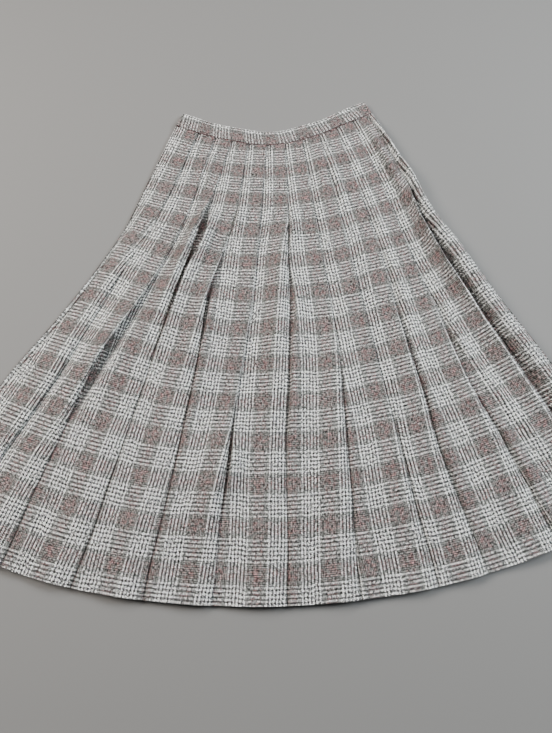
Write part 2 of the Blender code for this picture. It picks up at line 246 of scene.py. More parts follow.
def foldRow(fold, before, share, away, stand, gaps, lastOverlap):
    # One pleat's row of (offset left of the fold's edge, height, shows) from valley to valley
    radius = float(radiusAt(fold, share))
    pitch = math.radians(fold - before) * radius
    room = pitch - fan["edgeMargin"] - 2 * fan["turnMargin"]
    overlap = max((fan["clothPerPleat"] - pitch) / 2, fan["leastOverlap"])
    overlap = min(overlap, room, pitch * pleat["deepest"])
    roll = math.radians(away) * radius
    hemLift, highAt, highSpread, highest, late = stand
    free = opened(share, pleat["freeFrom"])
    sooner = float(easing((share - pleat["soonerFrom"]) / pleat["soonerOver"]))
    late *= 1 - pleat["soonerBy"] * sooner
    lift = free * (highest * bell(share, highAt, highSpread) + hemLift * released(share))
    crest = max(roll, pleat["leastCrest"])
    edgeLift = lift * (1 - pleat["edgeSag"] * min(roll / pleat["sagRoll"], 1))
    topZ = fan["faceZ"] + lift
    edgeZ = fan["faceZ"] + edgeLift
    bend = min((edgeZ - fan["returnZ"]) / 2, pleat["largestBend"])
    row = []
    for part in np.linspace(0, 1, samples["hidden"]):      # underlay
        row.append((pitch + lastOverlap * (1 - part), fan["underlayZ"], part == 1))
    rise = pitch - overlap + (overlap - crest) * easing(released(share) * pleat["riseGrowth"])
    rise = min(rise, (pitch - overlap) * pleat["riseLimit"])
    faceWidth = pitch - crest
    near = min(pleat["nearWidth"], pleat["nearPart"] * faceWidth)
    reaches = list(np.linspace(0, near, samples["near"] + 1)[1:])
    beyond = np.linspace(0, 1, samples["face"] - samples["near"] + 1)[1:]
    reaches += list(near + (faceWidth - near) * np.sin(beyond * math.pi / 2))
    for reach in reaches:      # face, rising to its crease
        part = reach / faceWidth
        level = pleat["ramp"] * min(reach / rise, 1) + pleat["rampEased"] * float(easing(reach / rise))
        height = fan["underlayZ"] + (fan["faceZ"] - fan["underlayZ"]) * level
        height += lift * part**late
        for grooveAt, spread, width, wall, run, shoulder in gaps:
            depth = free * bell(share, grooveAt, spread)
            beyondGap = reach - width * depth
            swell = wall * depth * float(easing(beyondGap / run))
            height += swell * bell(max(beyondGap - run, 0), 0, shoulder)
        row.append((pitch - reach, height, True))
    crestAt = len(row) - 1
    for step in range(1, samples["roll"] + 1):      # the return that shows beside the crease
        part = step / samples["roll"]
        drop = (topZ - edgeZ) * (pleat["dropEven"] * part + pleat["dropLate"] * part**3)
        row.append((crest + (bend - crest) * part, topZ - drop, True))
    middle = edgeZ - bend
    for step in range(1, samples["turn"] + 1):      # round the edge
        turn = math.pi * step / samples["turn"]
        shows = step <= samples["turnShown"]
        row.append((bend - bend * math.sin(turn), middle + bend * math.cos(turn), shows))
    small = (fan["returnZ"] - fan["underlayZ"]) / 2
    start = edgeZ - 2 * bend
    faceAt, faceHigh = np.array(row)[::-1, :2].T
    order = np.argsort(faceAt)
    for step in range(1, samples["inside"] + 1):      # under the face, never through it
        part = step / samples["inside"]
        height = fan["returnZ"] + (start - fan["returnZ"]) * (1 - part) ** pleat["insideFall"]
        offset = bend + (overlap - small - bend) * part ** pleat["insideSpacing"]
        ceiling = float(np.interp(offset, faceAt[order], faceHigh[order])) - pleat["clearance"]
        row.append((offset, max(min(height, ceiling), fan["returnZ"]), False))
    for turn in (math.pi / 3, 2 * math.pi / 3):      # the valley's turn
        offset = overlap - small + small * math.sin(turn)
        row.append((offset, fan["returnZ"] - small + small * math.cos(turn), False))
    return row, overlap, roll, crestAt


# The strip between the last fold and the side edge
sideStrip = {
    "freeFrom": 0.14,
    "gap": 0.22,          # flat ground beside the last fold, as a part of the strip
    "gapAt": 0.58,
    "gapSpread": 0.40,
    "archReach": 1.02,
    "archPower": 0.62,    # under one, so its flanks are steep
}


def clothRow(angles, folds, share, sideCrown, sideLift):
    # One ring of a pleated panel: angles, heights, and cloth lengths measured from the creases
    row = []
    anchors = []      # index of each crease, its number, and how far the top is from it
    shown = []
    lastOverlap = 0.0
    for number, (before, fold, plan) in enumerate(zip(angles, angles[1:-1], folds), 1):
        away = max(float(smoothValue(shares, plan["away"], share)), 0)
        points, overlap, roll, crestAt = foldRow(fold, before, share, away, plan["stand"],
                                                 plan["gaps"], lastOverlap)
        radius = float(radiusAt(fold, share))
        if number == 1:
            points = points[samples["hidden"] - 1:]
            crestAt -= samples["hidden"] - 1
        anchors.append((len(row) + crestAt, number, max(roll, pleat["leastCrest"]) - roll))
        for offset, height, shows in points:
            row.append((fold - math.degrees(offset / radius), height))
            shown.append(shows)
        lastOverlap = overlap
    last = angles[-1]
    fold = angles[-2]
    radius = float(radiusAt(last, share))
    width = math.radians(last - fold) * radius
    top = fan["faceZ"] + sideCrown
    free = opened(share, sideStrip["freeFrom"])
    top = fan["returnZ"] + (top - fan["returnZ"]) * free
    for part in np.linspace(0, 1, samples["hidden"]):
        row.append((fold - math.degrees(lastOverlap * (1 - part) / radius), fan["underlayZ"]))
        shown.append(part == 1)
    gap = sideStrip["gap"] * bell(share, sideStrip["gapAt"], sideStrip["gapSpread"]) * free
    for step in range(1, samples["face"] + 1):
        part = step / samples["face"]
        height = fan["underlayZ"] + sideLift * part
        inner = max(part - gap, 0) / (1 - gap)
        arch = math.sin(math.pi * min(inner * sideStrip["archReach"], 1))
        height += (top - fan["underlayZ"]) * arch ** sideStrip["archPower"]
        row.append((fold + math.degrees(width * part / radius), height))
        shown.append(True)
    angle = np.array([point[0] for point in row])
    height = np.array([point[1] for point in row])
    flat = np.radians(angle) * radiusAt(angle, share)
    steps = np.hypot(np.diff(flat), np.diff(height))
    strip = 1 - samples["face"]
    steps[strip:] = np.diff(flat)[strip:]      # the strip's length is taken flat
    length = np.concatenate([[0], np.cumsum(steps)])
    return angle, height, length, anchors, np.array(shown)


def clothLengths(length, anchors, shown, sideLength):
    # Cloth length across: true beside each crease, the hidden layers taking up what is left over
    known = np.zeros(len(length))
    fixed = np.zeros(len(length), bool)
    centres = np.array([anchor[0] for anchor in anchors])
    for place, number, early in anchors:
        start = place
        creaseBefore = centres[number - 2] if number > 1 else -1
        while start > 0 and shown[start - 1] and start - 1 > creaseBefore:
            start -= 1
        end = place
        while end < len(length) - 1 and shown[end + 1] and end < place + samples["pastCrease"]:
            end += 1
        here = slice(start, end + 1)
        known[here] = fan["clothPerPleat"] * number - early + length[here] - length[place]
        fixed[here] = True
    strip = len(length) - samples["face"]
    known[strip:] = sideLength + length[strip:] - length[-1]
    fixed[strip:] = True
    return np.interp(length, length[fixed], known[fixed])


def shellObject(name, centre, uv, thickness, material):
    # A closed shell on a grid of centre points, with its cloth lengths as UV
    rings, points = centre.shape[:2]

    def unit(vectors):
        return vectors / np.maximum(np.linalg.norm(vectors, axis=-1, keepdims=True), 1e-12)

    across = unit(np.diff(centre, axis=1))
    before = np.concatenate([across[:, :1], across], axis=1)
    across = before + np.concatenate([across, across[:, -1:]], axis=1)
    down = unit(np.diff(centre, axis=0))
    before = np.concatenate([down[:1], down], axis=0)
    down = before + np.concatenate([down, down[-1:]], axis=0)
    normal = unit(np.cross(down, across))
    vertices = np.concatenate([(centre + normal * thickness / 2).reshape(-1, 3),
                               (centre - normal * thickness / 2).reshape(-1, 3)])
    index = np.arange(rings * points).reshape(rings, points)
    inner = index + rings * points
    upper = np.stack([index[:-1, :-1], index[1:, :-1], index[1:, 1:], index[:-1, 1:]], -1)
    lower = np.stack([inner[:-1, :-1], inner[:-1, 1:], inner[1:, 1:], inner[1:, :-1]], -1)
    faces = upper.reshape(-1, 4).tolist() + lower.reshape(-1, 4).tolist()
    for edge, under, turned in ((index[0], inner[0], False), (index[-1], inner[-1], True),
                                (index[:, 0], inner[:, 0], True), (index[:, -1], inner[:, -1], False)):
        rim = np.stack([edge[:-1], edge[1:], under[1:], under[:-1]], -1)
        faces += (rim[:, ::-1] if turned else rim).tolist()
    mesh = bpy.data.meshes.new(name)
    mesh.from_pydata(vertices.tolist(), [], faces)
    paintUv(mesh, np.concatenate([uv.reshape(-1, 2)] * 2))
    return finishedObject(name, mesh, material, fan["sharpAngle"])


def paintUv(mesh, uv):
    corners = np.empty(len(mesh.loops), int)
    mesh.loops.foreach_get("vertex_index", corners)
    layer = mesh.uv_layers.new(name="cloth")
    layer.uv.foreach_set("vector", uv[corners].ravel().astype(np.float32))


def finishedObject(name, mesh, material, sharpAngle):
    work = bmesh.new()
    work.from_mesh(mesh)
    if work.calc_volume(signed=True) < 0:
        bmesh.ops.reverse_faces(work, faces=work.faces[:])
    work.to_mesh(mesh)
    work.free()
    mesh.shade_smooth()
    mesh.set_sharp_from_angle(angle=math.radians(sharpAngle))
    mesh.materials.append(material)
    item = bpy.data.objects.new(name, mesh)
    collection.objects.link(item)
    return item


def creaseHeights(angle, radius):      # soft troughs and ridges left by wear
    x = radius * np.sin(np.radians(angle))
    y = radius * np.cos(np.radians(angle))
    total = np.zeros_like(x)
    for startAngle, startRadius, endAngle, endRadius, width, height in creases:
        turn = math.radians(startAngle)
        start = np.array([math.sin(turn), math.cos(turn)]) * startRadius
        turn = math.radians(endAngle)
        end = np.array([math.sin(turn), math.cos(turn)]) * endRadius
        line = end - start
        part = ((x - start[0]) * line[0] + (y - start[1]) * line[1]) / (line @ line)
        away = np.hypot(x - start[0] - line[0] * part, y - start[1] - line[1] * part)
        fade = np.clip(np.sin(np.pi * np.clip(part, 0, 1)), 0, 1)
        total += height * np.exp(-((away / width) ** 2)) * fade
    return total


drape = {
    "folds": 11,
    "frontRings": 108,
    "backRings": 56,
    "crown": 0.0150,             # of the strip at the right side
    "zipLift": 0.0008,           # of the side edge, down to the zip's end
    "zipEnd": 0.235,
    "waver": 0.05,               # of the fold edges, in degrees
    "waverTurns": 23,
    "waverStep": 2.1,
    "waveHeight": 0.0005,
    "waveRadial": 60,
    "waveAcross": 1.7,
    "waveGrowth": 4,
    "sway": 0.0012,              # of the check, from pleat to pleat
    "swayStep": 2.3,
    "swayTurns": 7,
    "swayStart": 0.35,
    "pull": 0.010,               # of the check, into the last fold's groove
    "pullPower": 4,
    "pullAt": 0.28,
    "pullSpread": 0.2,
    "pullPast": 0.1,             # degrees past the fold
    "slipPast": 0.2,
    "backUneven": 0.25,          # of the folds behind, in degrees
    "backStep": 2.3,
    "sideLength": fan["clothPerPleat"] * 12 - 0.0527 + 0.0265,      # to the right side, mid bold band
}

# How far the check has slipped on the laid cloth, in millimetres: upward and to the right
slipAngles = (-26, -21, -15, -9, -3, 3, 8, 12, 16, 22)
slipRadii = (0.43, 0.50, 0.56, 0.62, 0.68, 0.74, 0.80, 0.86, 0.92, 0.98, 1.04, 1.12)
slipUp = (
    (6, 5, 6, 4, 2, 2, 5, 8, 8, 8),
    (2, 2, 9, 4, 3, 2, 5, 9, 9, 10),
    (6, 6, 8, 3, 2, 2, 4, 6, 6, 6),
    (8, 8, 6, 2, 2, 1, 2, 5, 5, 3),
    (10, 10, 5, 2, 1, 1, 2, 5, 3, 1),
    (11, 11, 4, 2, 1, 0, 0, 1, 1, 0),
    (10, 10, 7, 2, 0, 0, 0, 0, 0, 0),
    (8, 8, 7, 2, 0, 0, 0, 0, 0, 0),
    (7, 7, 5, 1, 0, 0, 0, 0, 0, 0),
    (4, 4, 3, 1, 0, 0, 0, 0, 0, 0),
    (2, 2, 2, 0, 0, 0, 0, 0, 0, 0),
    (0, 0, 0, 0, 0, 0, 0, 0, 0, 0),
)
slipRight = (
    (3, 4, 8, 6, 6, 5, 5, 5, 7, 6),
    (1, 3, 8, 5, 5, 4, 4, 5, 7, 6),
    (1, 2, 7, 3, 3, 3, 3, 4, 6, 5),
    (0, 1, 3, 0, 1, 1, 2, 4, 5, 4),
    (0, 0, 0, 0, 0, 0, 1, 3, 3, 2),
    (0, 0, 0, 0, 0, 0, 1, 2, 2, 1),
    (0, 0, 0, 0, 0, 0, 0, 1, 1, 0),
    (0, 0, 0, 0, 0, 0, 0, 0, 0, 0),
    (0, 0, 0, 0, 0, 0, 0, 0, 0, 0),
    (0, 0, 0, 0, 0, 0, 0, 0, 0, 0),
    (0, 0, 0, 0, 0, 0, 0, 0, 0, 0),
    (0, 0, 0, 0, 0, 0, 0, 0, 0, 0),
)


def slipAt(table, angle, radius):      # millimetres in the table to metres at a point
    middle = float(np.mean(radius))
    row = [float(smoothValue(slipRadii, column, middle)) for column in zip(*table)]
    return smoothValue(slipAngles, row, angle) / 1000


def makeFront(material):
    folds = []
    for number in range(1, drape["folds"] + 1):
        name = f"fold{number}"
        gaps = grooves.get(f"fold{number - 1}", [])
        folds.append({"away": creaseAway[name], "stand": standing[name], "gaps": gaps})
    rows = []
    lengths = []
    for share in np.linspace(0, 1, drape["frontRings"]):
        angles = [float(smoothValue(shares, row, share)) for row in edgeAngles.values()]
        for index in range(1, drape["folds"] + 1):      # edges waver a little below the stitching
            wave = math.sin(share * drape["waverTurns"] + index * drape["waverStep"])
            angles[index] += drape["waver"] * wave * released(share)
        lift = drape["zipLift"] if share < drape["zipEnd"] else 0.0
        angle, height, length, anchors, shown = clothRow(angles, folds, share, drape["crown"], lift)
        across = clothLengths(length, anchors, shown, drape["sideLength"])
        radius = radiusAt(angle, share)
        free = min(released(share) * drape["waveGrowth"], 1)
        height = height + creaseHeights(angle, radius) * shown
        wave = np.sin(radius * drape["waveRadial"] + angle * drape["waveAcross"])
        height = height + shown * free * drape["waveHeight"] * wave
        below = hemRadius(angle) - radius
        number = np.floor(across / fan["clothPerPleat"] + drape["swayStart"])
        sway = drape["sway"] * np.sin(number * drape["swayStep"] + share * drape["swayTurns"])
        lastPleat = np.clip((angle - angles[-3]) / (angles[-2] - angles[-3]), 0, 1)
        lastPleat = lastPleat * (angle <= angles[-2] + drape["pullPast"])
        pull = drape["pull"] * lastPleat ** drape["pullPower"]
        pull = pull * bell(share, drape["pullAt"], drape["pullSpread"])
        across = across - slipAt(slipRight, angle, radius) * (angle < angles[-2] + drape["slipPast"])
        rows.append(fanPoints(angle, radius, height))
        lengths.append(np.stack([across, below + sway - pull - slipAt(slipUp, angle, radius)], -1))
    return shellObject("front_cloth", np.array(rows), np.array(lengths), fan["shell"], material)


# Every fold behind is the same, and lies flat
backFold = {
    "away": (0, 0, 0, 0, 0.1, 0.35, 0.6, 0.9),
    "stand": (0.0, 0.5, 0.1, 0.0, 2.0),
    "gaps": [],
}


def makeBack(material):
    count = drape["folds"]
    flip = fan["backZ"] + fan["faceZ"]
    rows = []
    lengths = []
    for share in np.linspace(0, 1, drape["backRings"]):
        start = -float(smoothValue(shares, backSides["backRight"], share))
        end = -float(smoothValue(shares, backSides["backLeft"], share))
        pitch = (end - start) / (count + 0.5)
        angles = [start]
        for number in range(1, count + 1):
            uneven = drape["backUneven"] * math.sin(number * drape["backStep"]) * released(share)
            angles.append(start + pitch * number + uneven)
        angles.append(end)
        angle, height, length, anchors, shown = clothRow(angles, [backFold] * count, share, 0, 0)
        across = clothLengths(length, anchors, shown, drape["sideLength"])
        radius = radiusAt(-angle, share)
        rows.append(fanPoints(-angle, radius, flip - height))
        lengths.append(np.stack([across, hemRadius(-angle) - radius], -1))
    return shellObject("back_cloth", np.array(rows), np.array(lengths), fan["shell"], material)


band = {
    "height": 0.030,
    "seamGap": 0.0006,
    "thickness": 0.0020,
    "corner": 0.006,         # radius of the corners at the right end
    "halfAngle": 26.0,
    "frontZ": 0.0074,
    "backZ": 0.0010,
    "underlapZ": 0.0034,
    "underlap": 0.032,
    "steps": 110,
    "rows": 14,
    "slant": -0.24,          # of the check, along the band for each step up
    "checkScale": 0.962,
    "checkShift": -0.0215,
    "topCheck": 0.0245,      # height where the pale band of the check begins
    "foldSlack": 0.45,       # how far the left turn bulges, as a part of its height
    "underSlack": 0.3,
    "foldSteps": 8,
    "underSteps": 5,
    "underPoints": 12,
    "rowPower": 0.9,
    "plumpPower": 5,
    "thinEdge": 0.25,
    "endRadius": 0.379,
    "wave": 0.0007,
    "waveTurns": 61,
    "widest": 27,            # degrees that the arcs go to
    "sharpAngle": 50,
}


def bandPath():      # front from the right end, round the left side, back, and the underlap
    half = band["halfAngle"]
    angles = list(np.linspace(half, -half, band["steps"]))
    heights = [band["frontZ"]] * band["steps"]
    bend = (band["frontZ"] - band["backZ"]) / 2
    radius = float(seamRadius(-half))
    for step in range(1, band["foldSteps"]):
        turn = math.pi * step / band["foldSteps"]
        angles.append(-half - math.degrees(bend * math.sin(turn) * band["foldSlack"] / radius))
        heights.append(band["backZ"] + bend + bend * math.cos(turn))
    angles += list(np.linspace(-half, half, band["steps"]))
    heights += [band["backZ"]] * band["steps"]
    small = (band["underlapZ"] - band["backZ"]) / 2
    radius = float(seamRadius(half))
    for step in range(1, band["underSteps"]):
        turn = math.pi * step / band["underSteps"]
        angles.append(half + math.degrees(small * math.sin(turn) * band["underSlack"] / radius))
        heights.append(band["backZ"] + small - small * math.cos(turn))
    for part in np.linspace(0, 1, band["underPoints"]):
        angles.append(half - math.degrees(band["underlap"] * part / radius))
        heights.append(band["underlapZ"])
    return np.array(angles), np.array(heights)


def makeWaistband(material):
    angle, height = bandPath()
    rowsUp = np.linspace(0, 1, band["rows"]) ** band["rowPower"]
    above = band["seamGap"] + (band["height"] - band["seamGap"]) * rowsUp
    middle = (band["height"] + band["seamGap"]) / 2
    half = (band["height"] - band["seamGap"]) / 2
    plump = (1 - np.abs((above - middle) / half) ** band["plumpPower"]) ** 0.5
    plump[0] = plump[-1] = band["thinEdge"]
    sides = []
    uvs = []
    flat = np.radians(angle) * seamRadius(angle)
    along = np.stack([np.gradient(flat), np.gradient(height)], -1)
    along /= np.linalg.norm(along, axis=-1, keepdims=True)
    run = np.concatenate([[0], np.cumsum(np.hypot(np.diff(flat), np.diff(height)))])
    for side in (1, -1):
        order = range(band["rows"]) if side > 0 else range(band["rows"] - 1, -1, -1)
        for row in order:
            up = above[row]
            corner = max(up - (band["height"] - band["corner"]), 0) / band["corner"]
            trim = band["corner"] * (1 - math.sqrt(max(1 - corner * corner, 0)))
            limit = band["halfAngle"] - math.degrees(trim / band["endRadius"])
            thick = band["thickness"] / 2 * plump[row] * side
            here = np.minimum(angle, limit)
            here = here + np.degrees(along[:, 1] * thick / seamRadius(angle))
            level = height - along[:, 0] * thick
            wave = band["wave"] * np.sin(run * band["waveTurns"]) * (up / band["height"]) ** 2
            radius = seamRadius(np.clip(here, -band["widest"], band["widest"])) - up - wave
            sides.append(fanPoints(here, radius, level))
            across = np.full(len(run), up - band["topCheck"])
            lengthwise = run * band["checkScale"] + band["checkShift"] + band["slant"] * up
            uvs.append(np.stack([across, lengthwise], -1))
    grid = np.stack(sides, axis=1)
    uv = np.stack(uvs, axis=1)
    stations, loop = grid.shape[:2]
    vertices = grid.reshape(-1, 3)
    index = np.arange(stations * loop).reshape(stations, loop)
    after = np.roll(index, -1, axis=1)
    faces = np.stack([index[:-1], index[1:], after[1:], after[:-1]], -1).reshape(-1, 4).tolist()
    pairs = loop // 2 - 1
    for ring, turned in ((index[0], False), (index[-1], True)):      # closed ends
        for step in range(pairs):
            corners = [ring[step], ring[step + 1], ring[loop - 2 - step], ring[loop - 1 - step]]
            corners = [int(corner) for corner in corners]
            faces.append(corners[::-1] if turned else corners)
    mesh = bpy.data.meshes.new("waistband_cloth")
    mesh.from_pydata(vertices.tolist(), [], faces)
    paintUv(mesh, uv.reshape(-1, 2))
    return finishedObject("waistband_cloth", mesh, material, band["sharpAngle"])


class Signal:      # a socket that Python can do sums with
    def __init__(self, builder, socket):
        self.builder = builder
        self.socket = socket

    def math(self, operation, *others):
        inputs = {0: self}
        for index, other in enumerate(others, 1):
            inputs[index] = other
        return self.builder.node("ShaderNodeMath", {"operation": operation}, inputs)

    def __add__(self, other):
        return self.math("ADD", other)

    __radd__ = __add__

    def __sub__(self, other):
        return self.math("SUBTRACT", other)

    def __rsub__(self, other):
        return self.builder.node("ShaderNodeMath", {"operation": "SUBTRACT"}, {0: other, 1: self})

    def __mul__(self, other):
        return self.math("MULTIPLY", other)

    __rmul__ = __mul__

    def __truediv__(self, other):
        return self.math("DIVIDE", other)

    def __mod__(self, other):
        return self.math("FLOORED_MODULO", other)

    def __lt__(self, other):
        return self.math("LESS_THAN", other)

    def __gt__(self, other):
        return self.math("GREATER_THAN", other)

    def floor(self):
        return self.math("FLOOR")

    def fract(self):
        return self.math("FRACT")

    def size(self):
        return self.math("ABSOLUTE")


class MaterialMaker:
    def __init__(self, name):
        self.material = bpy.data.materials.new(name)
        self.material.use_nodes = True
        self.tree = self.material.node_tree
        self.shader = self.tree.nodes["Principled BSDF"]

    def node(self, kind, settings=None, inputs=None, output=0):
        # Adds any node: its settings first, then its inputs as values or links
        item = self.tree.nodes.new(kind)
        for key, value in (settings or {}).items():
            setattr(item, key, value)
        for key, value in (inputs or {}).items():
            self.feed(item.inputs[key], value)
        return Signal(self, item.outputs[output])

    def feed(self, socket, value):
        if isinstance(value, Signal):
            self.tree.links.new(value.socket, socket)
        else:
            socket.default_value = value

    def mix(self, factor, first, second):      # colours, by a factor from 0 to 1
        return self.node("ShaderNodeMix", {"data_type": "RGBA"}, {0: factor, 6: first, 7: second}, 2)

    def tint(self, colour, amount):      # a colour made lighter or darker
        colour = colour if isinstance(colour, Signal) else colour[:3]
        return self.node("ShaderNodeVectorMath", {"operation": "SCALE"}, {0: colour, "Scale": amount})

    def set(self, **values):
        for key, value in values.items():
            self.feed(self.shader.inputs[key.replace("_", " ")], value)


# The glen check, yarn by yarn, and the wool's own texture
wool = {
    "warpYarn": 0.052 / 90,      # 44 yarns in the bold band, 46 in the fine ground
    "weftYarn": 0.0579 / 86,     # 44 and 42
    "bandYarns": 44,
    "warpRepeat": 90,
    "weftRepeat": 86,
    "warpBandAt": -0.0527,       # where a bold band begins, across from a crease
    "weftBandAt": -0.0052,       # and up from the hem
    "cream": (0.98, 0.99, 0.97, 1),
    "weftCream": (0.88, 0.89, 0.87, 1),
    "fog": (0.305, 0.310, 0.294, 1),
    "ink": (0.018, 0.018, 0.022, 1),
    "weftInk": (0.075, 0.075, 0.078, 1),
    "slate": (0.095, 0.095, 0.094, 1),
    "rose": (0.45, 0.245, 0.240, 1),
    "roseYarns": 24,
    "boldGroup": 8,              # yarns, half of them pale
    "fineGroup": 4,
    "mottleFrom": 0.35,          # patchy red
    "mottleSharp": 3.2,
    "relief": 0.00012,
    "fuzz": 0.6,                 # fibres' part of the relief
    "bump": 0.6,
    "wander": 0.0008,            # how far the yarns stray
    "grain": 6.0,
    "heather": 3.5,
    "slubs": 1.7,
    "slubShift": 7.3,            # from yarn to yarn
    "slubScale": 55,             # along a yarn
    "patchLow": 0.94,
    "patchRange": 0.12,
    "lift": 0.16,                # where both bold bands cross
    "roughness": 0.82,
    "roughnessRange": 0.12,
    "sheen": 0.12,
    "sheenRoughness": 0.5,
    "specular": 0.25,
}
woolNoise = {
    "wander": {"Scale": 90.0, "Detail": 3.0, "Roughness": 0.65},
    "mottle": {"Scale": 160.0, "Detail": 4.0},
    "fibre": {"Scale": 640.0, "Detail": 3.0, "Roughness": 0.75},
    "heather": {"Scale": 330.0, "Detail": 1.0},
    "patch": {"Scale": 22.0, "Detail": 3.0},
}


def checkMaterial(name, look):
    maker = MaterialMaker(name)
    uv = maker.node("ShaderNodeUVMap", {"uv_map": "cloth"})

    def noise(kind, output=0):
        inputs = {"Vector": uv, **woolNoise[kind]}
        return maker.node("ShaderNodeTexNoise", {"noise_dimensions": "2D"}, inputs, output)

    wander = noise("wander", 1)
    centred = maker.node("ShaderNodeVectorMath", {"operation": "SUBTRACT"}, {0: wander, 1: (0.5, 0.5, 0.5)})
    moved = maker.node("ShaderNodeVectorMath", {"operation": "MULTIPLY_ADD"},
                       {0: centred, 1: (look["wander"],) * 3, 2: uv})
    across = maker.node("ShaderNodeSeparateXYZ", inputs={0: moved}, output=0)
    up = maker.node("ShaderNodeSeparateXYZ", inputs={0: moved}, output=1)
    warp = (across - look["warpBandAt"]) / look["warpYarn"]
    weft = (up - look["weftBandAt"]) / look["weftYarn"]
    warpNumber = warp.floor()
    weftNumber = weft.floor()
    over = ((warpNumber + weftNumber) % 4) < 1.5      # 2/2 twill: the warp lies on top
    mottle = (noise("mottle") - look["mottleFrom"]) * look["mottleSharp"]
    mottle = maker.node("ShaderNodeClamp", None, {0: mottle})

    def yarnColour(number, repeat, length, ink, cream):      # colour of a yarn from its place in the order
        place = number % repeat
        bold = place < look["bandYarns"] - 0.5
        boldPale = (place % look["boldGroup"]) < look["boldGroup"] / 2 - 0.5
        finePale = ((place - look["bandYarns"]) % look["fineGroup"]) > look["fineGroup"] / 2 - 0.5
        middle = (repeat + look["bandYarns"]) / 2
        rose = ((place - (middle - 0.5)).size() < look["roseYarns"] / 2) * mottle
        boldColour = maker.mix(boldPale, look[ink], look[cream])
        paleFine = maker.mix(rose, look["fog"], look["rose"])
        fineColour = maker.mix(finePale, look["slate"], paleFine)
        place = maker.node("ShaderNodeCombineXYZ", None,
                           {0: number * look["slubShift"], 1: length * look["slubScale"]})
        slub = maker.node("ShaderNodeTexNoise", {"noise_dimensions": "2D"},
                          {"Vector": place, "Scale": 1.0})
        amount = 1 + (slub - 0.5) * look["slubs"]
        return maker.tint(maker.mix(bold, fineColour, boldColour), amount), bold

    warpColour, warpBold = yarnColour(warpNumber, look["warpRepeat"], up, "ink", "cream")
    weftColour, weftBold = yarnColour(weftNumber, look["weftRepeat"], across, "weftInk", "weftCream")
    colour = maker.mix(over, weftColour, warpColour)
    fibre = noise("fibre")
    heather = noise("heather")
    patch = look["patchLow"] + noise("patch") * look["patchRange"]
    amount = 1 + (fibre - 0.5) * look["grain"] + (heather - 0.5) * look["heather"]
    amount = amount * patch
    colour = maker.tint(colour, amount * (1 + warpBold * weftBold * look["lift"]))
    warpCrown = (warp.fract() * 2 - 1).size()
    weftCrown = (weft.fract() * 2 - 1).size()
    crown = 1 - (over * warpCrown * warpCrown + (1 - over) * weftCrown * weftCrown)
    height = crown * look["relief"] + fibre * (look["relief"] * look["fuzz"])
    bump = maker.node("ShaderNodeBump", None,
                      {"Height": height, "Strength": look["bump"], "Distance": 1.0})
    roughness = look["roughness"] + fibre * look["roughnessRange"]
    maker.set(Base_Color=colour, Roughness=roughness, Normal=bump, Sheen_Weight=look["sheen"],
              Sheen_Roughness=look["sheenRoughness"], Specular_IOR_Level=look["specular"])
    return maker.material


# Thread, nylon and nickel: their colour, finish and grain. The burgundy thread's very dark wine colour is
# partly real thread colour and partly painted shade of the waist seam's ditch
finishes = {
    # Dark wine thread: partly its own colour, partly painted shadow of the seam ditch
    "burgundy_thread_and_ditch_shade": {"colour": (0.085, 0.018, 0.025, 1), "roughness": 0.7, "metallic": 0.0,
                        "grainScale": 3000.0, "grainDepth": 0.00005},
    "zip_nylon_dark": {"colour": (0.10, 0.045, 0.055, 1), "roughness": 0.45, "metallic": 0.0,
                       "grainScale": 2500.0, "grainDepth": 0.00003},
    "nickel_plate": {"colour": (0.60, 0.585, 0.56, 1), "roughness": 0.28, "metallic": 1.0,
                     "grainScale": 1800.0, "grainDepth": 0.00001},
}
surface = {"shadeLow": 0.85, "shadeRange": 0.3, "roughLow": 0.08, "roughRange": 0.16, "bump": 0.5}


def plainMaterial(name):
    look = finishes[name]
    maker = MaterialMaker(name)
    place = maker.node("ShaderNodeTexCoord", output=3)
    grain = maker.node("ShaderNodeTexNoise", None,
                       {"Vector": place, "Scale": look["grainScale"], "Detail": 3.0})
    shade = maker.tint(look["colour"], surface["shadeLow"] + grain * surface["shadeRange"])
    bump = maker.node("ShaderNodeBump", None, {"Height": grain * look["grainDepth"],
                                               "Strength": surface["bump"], "Distance": 1.0})
    roughness = look["roughness"] - surface["roughLow"] + grain * surface["roughRange"]
    maker.set(Base_Color=shade, Roughness=roughness, Metallic=look["metallic"], Normal=bump)
    return maker.material


# Stitches that touch end to end along the waist seam: a real stitched line, and also a painted shadow line
# along the seam ditch
stitching = {
    "Spacing": 0.0030,
    "Length": 0.00155,
    "Width": 0.00070,
    "Height": 0.00050,
    "Seed": 7,
    "reach": 25.6,               # degrees to both sides
    "points": 180,
    "front": (-0.0001, 0.0097),      # from the seam, and height
    "back": (0.0002, 0.0006),
}
teeth = {
    "Spacing": 0.0014,
    "Length": 0.00048,
    "Width": 0.0008,
    "Height": 0.0005,
    "Seed": 3,
    "top": 0.018,                # share of the length below the waist
    "bottom": 0.224,
    "points": 40,
    "inset": 0.0004,
    "z": 0.0046,
}
unevenSize = (0.85, 1.1)


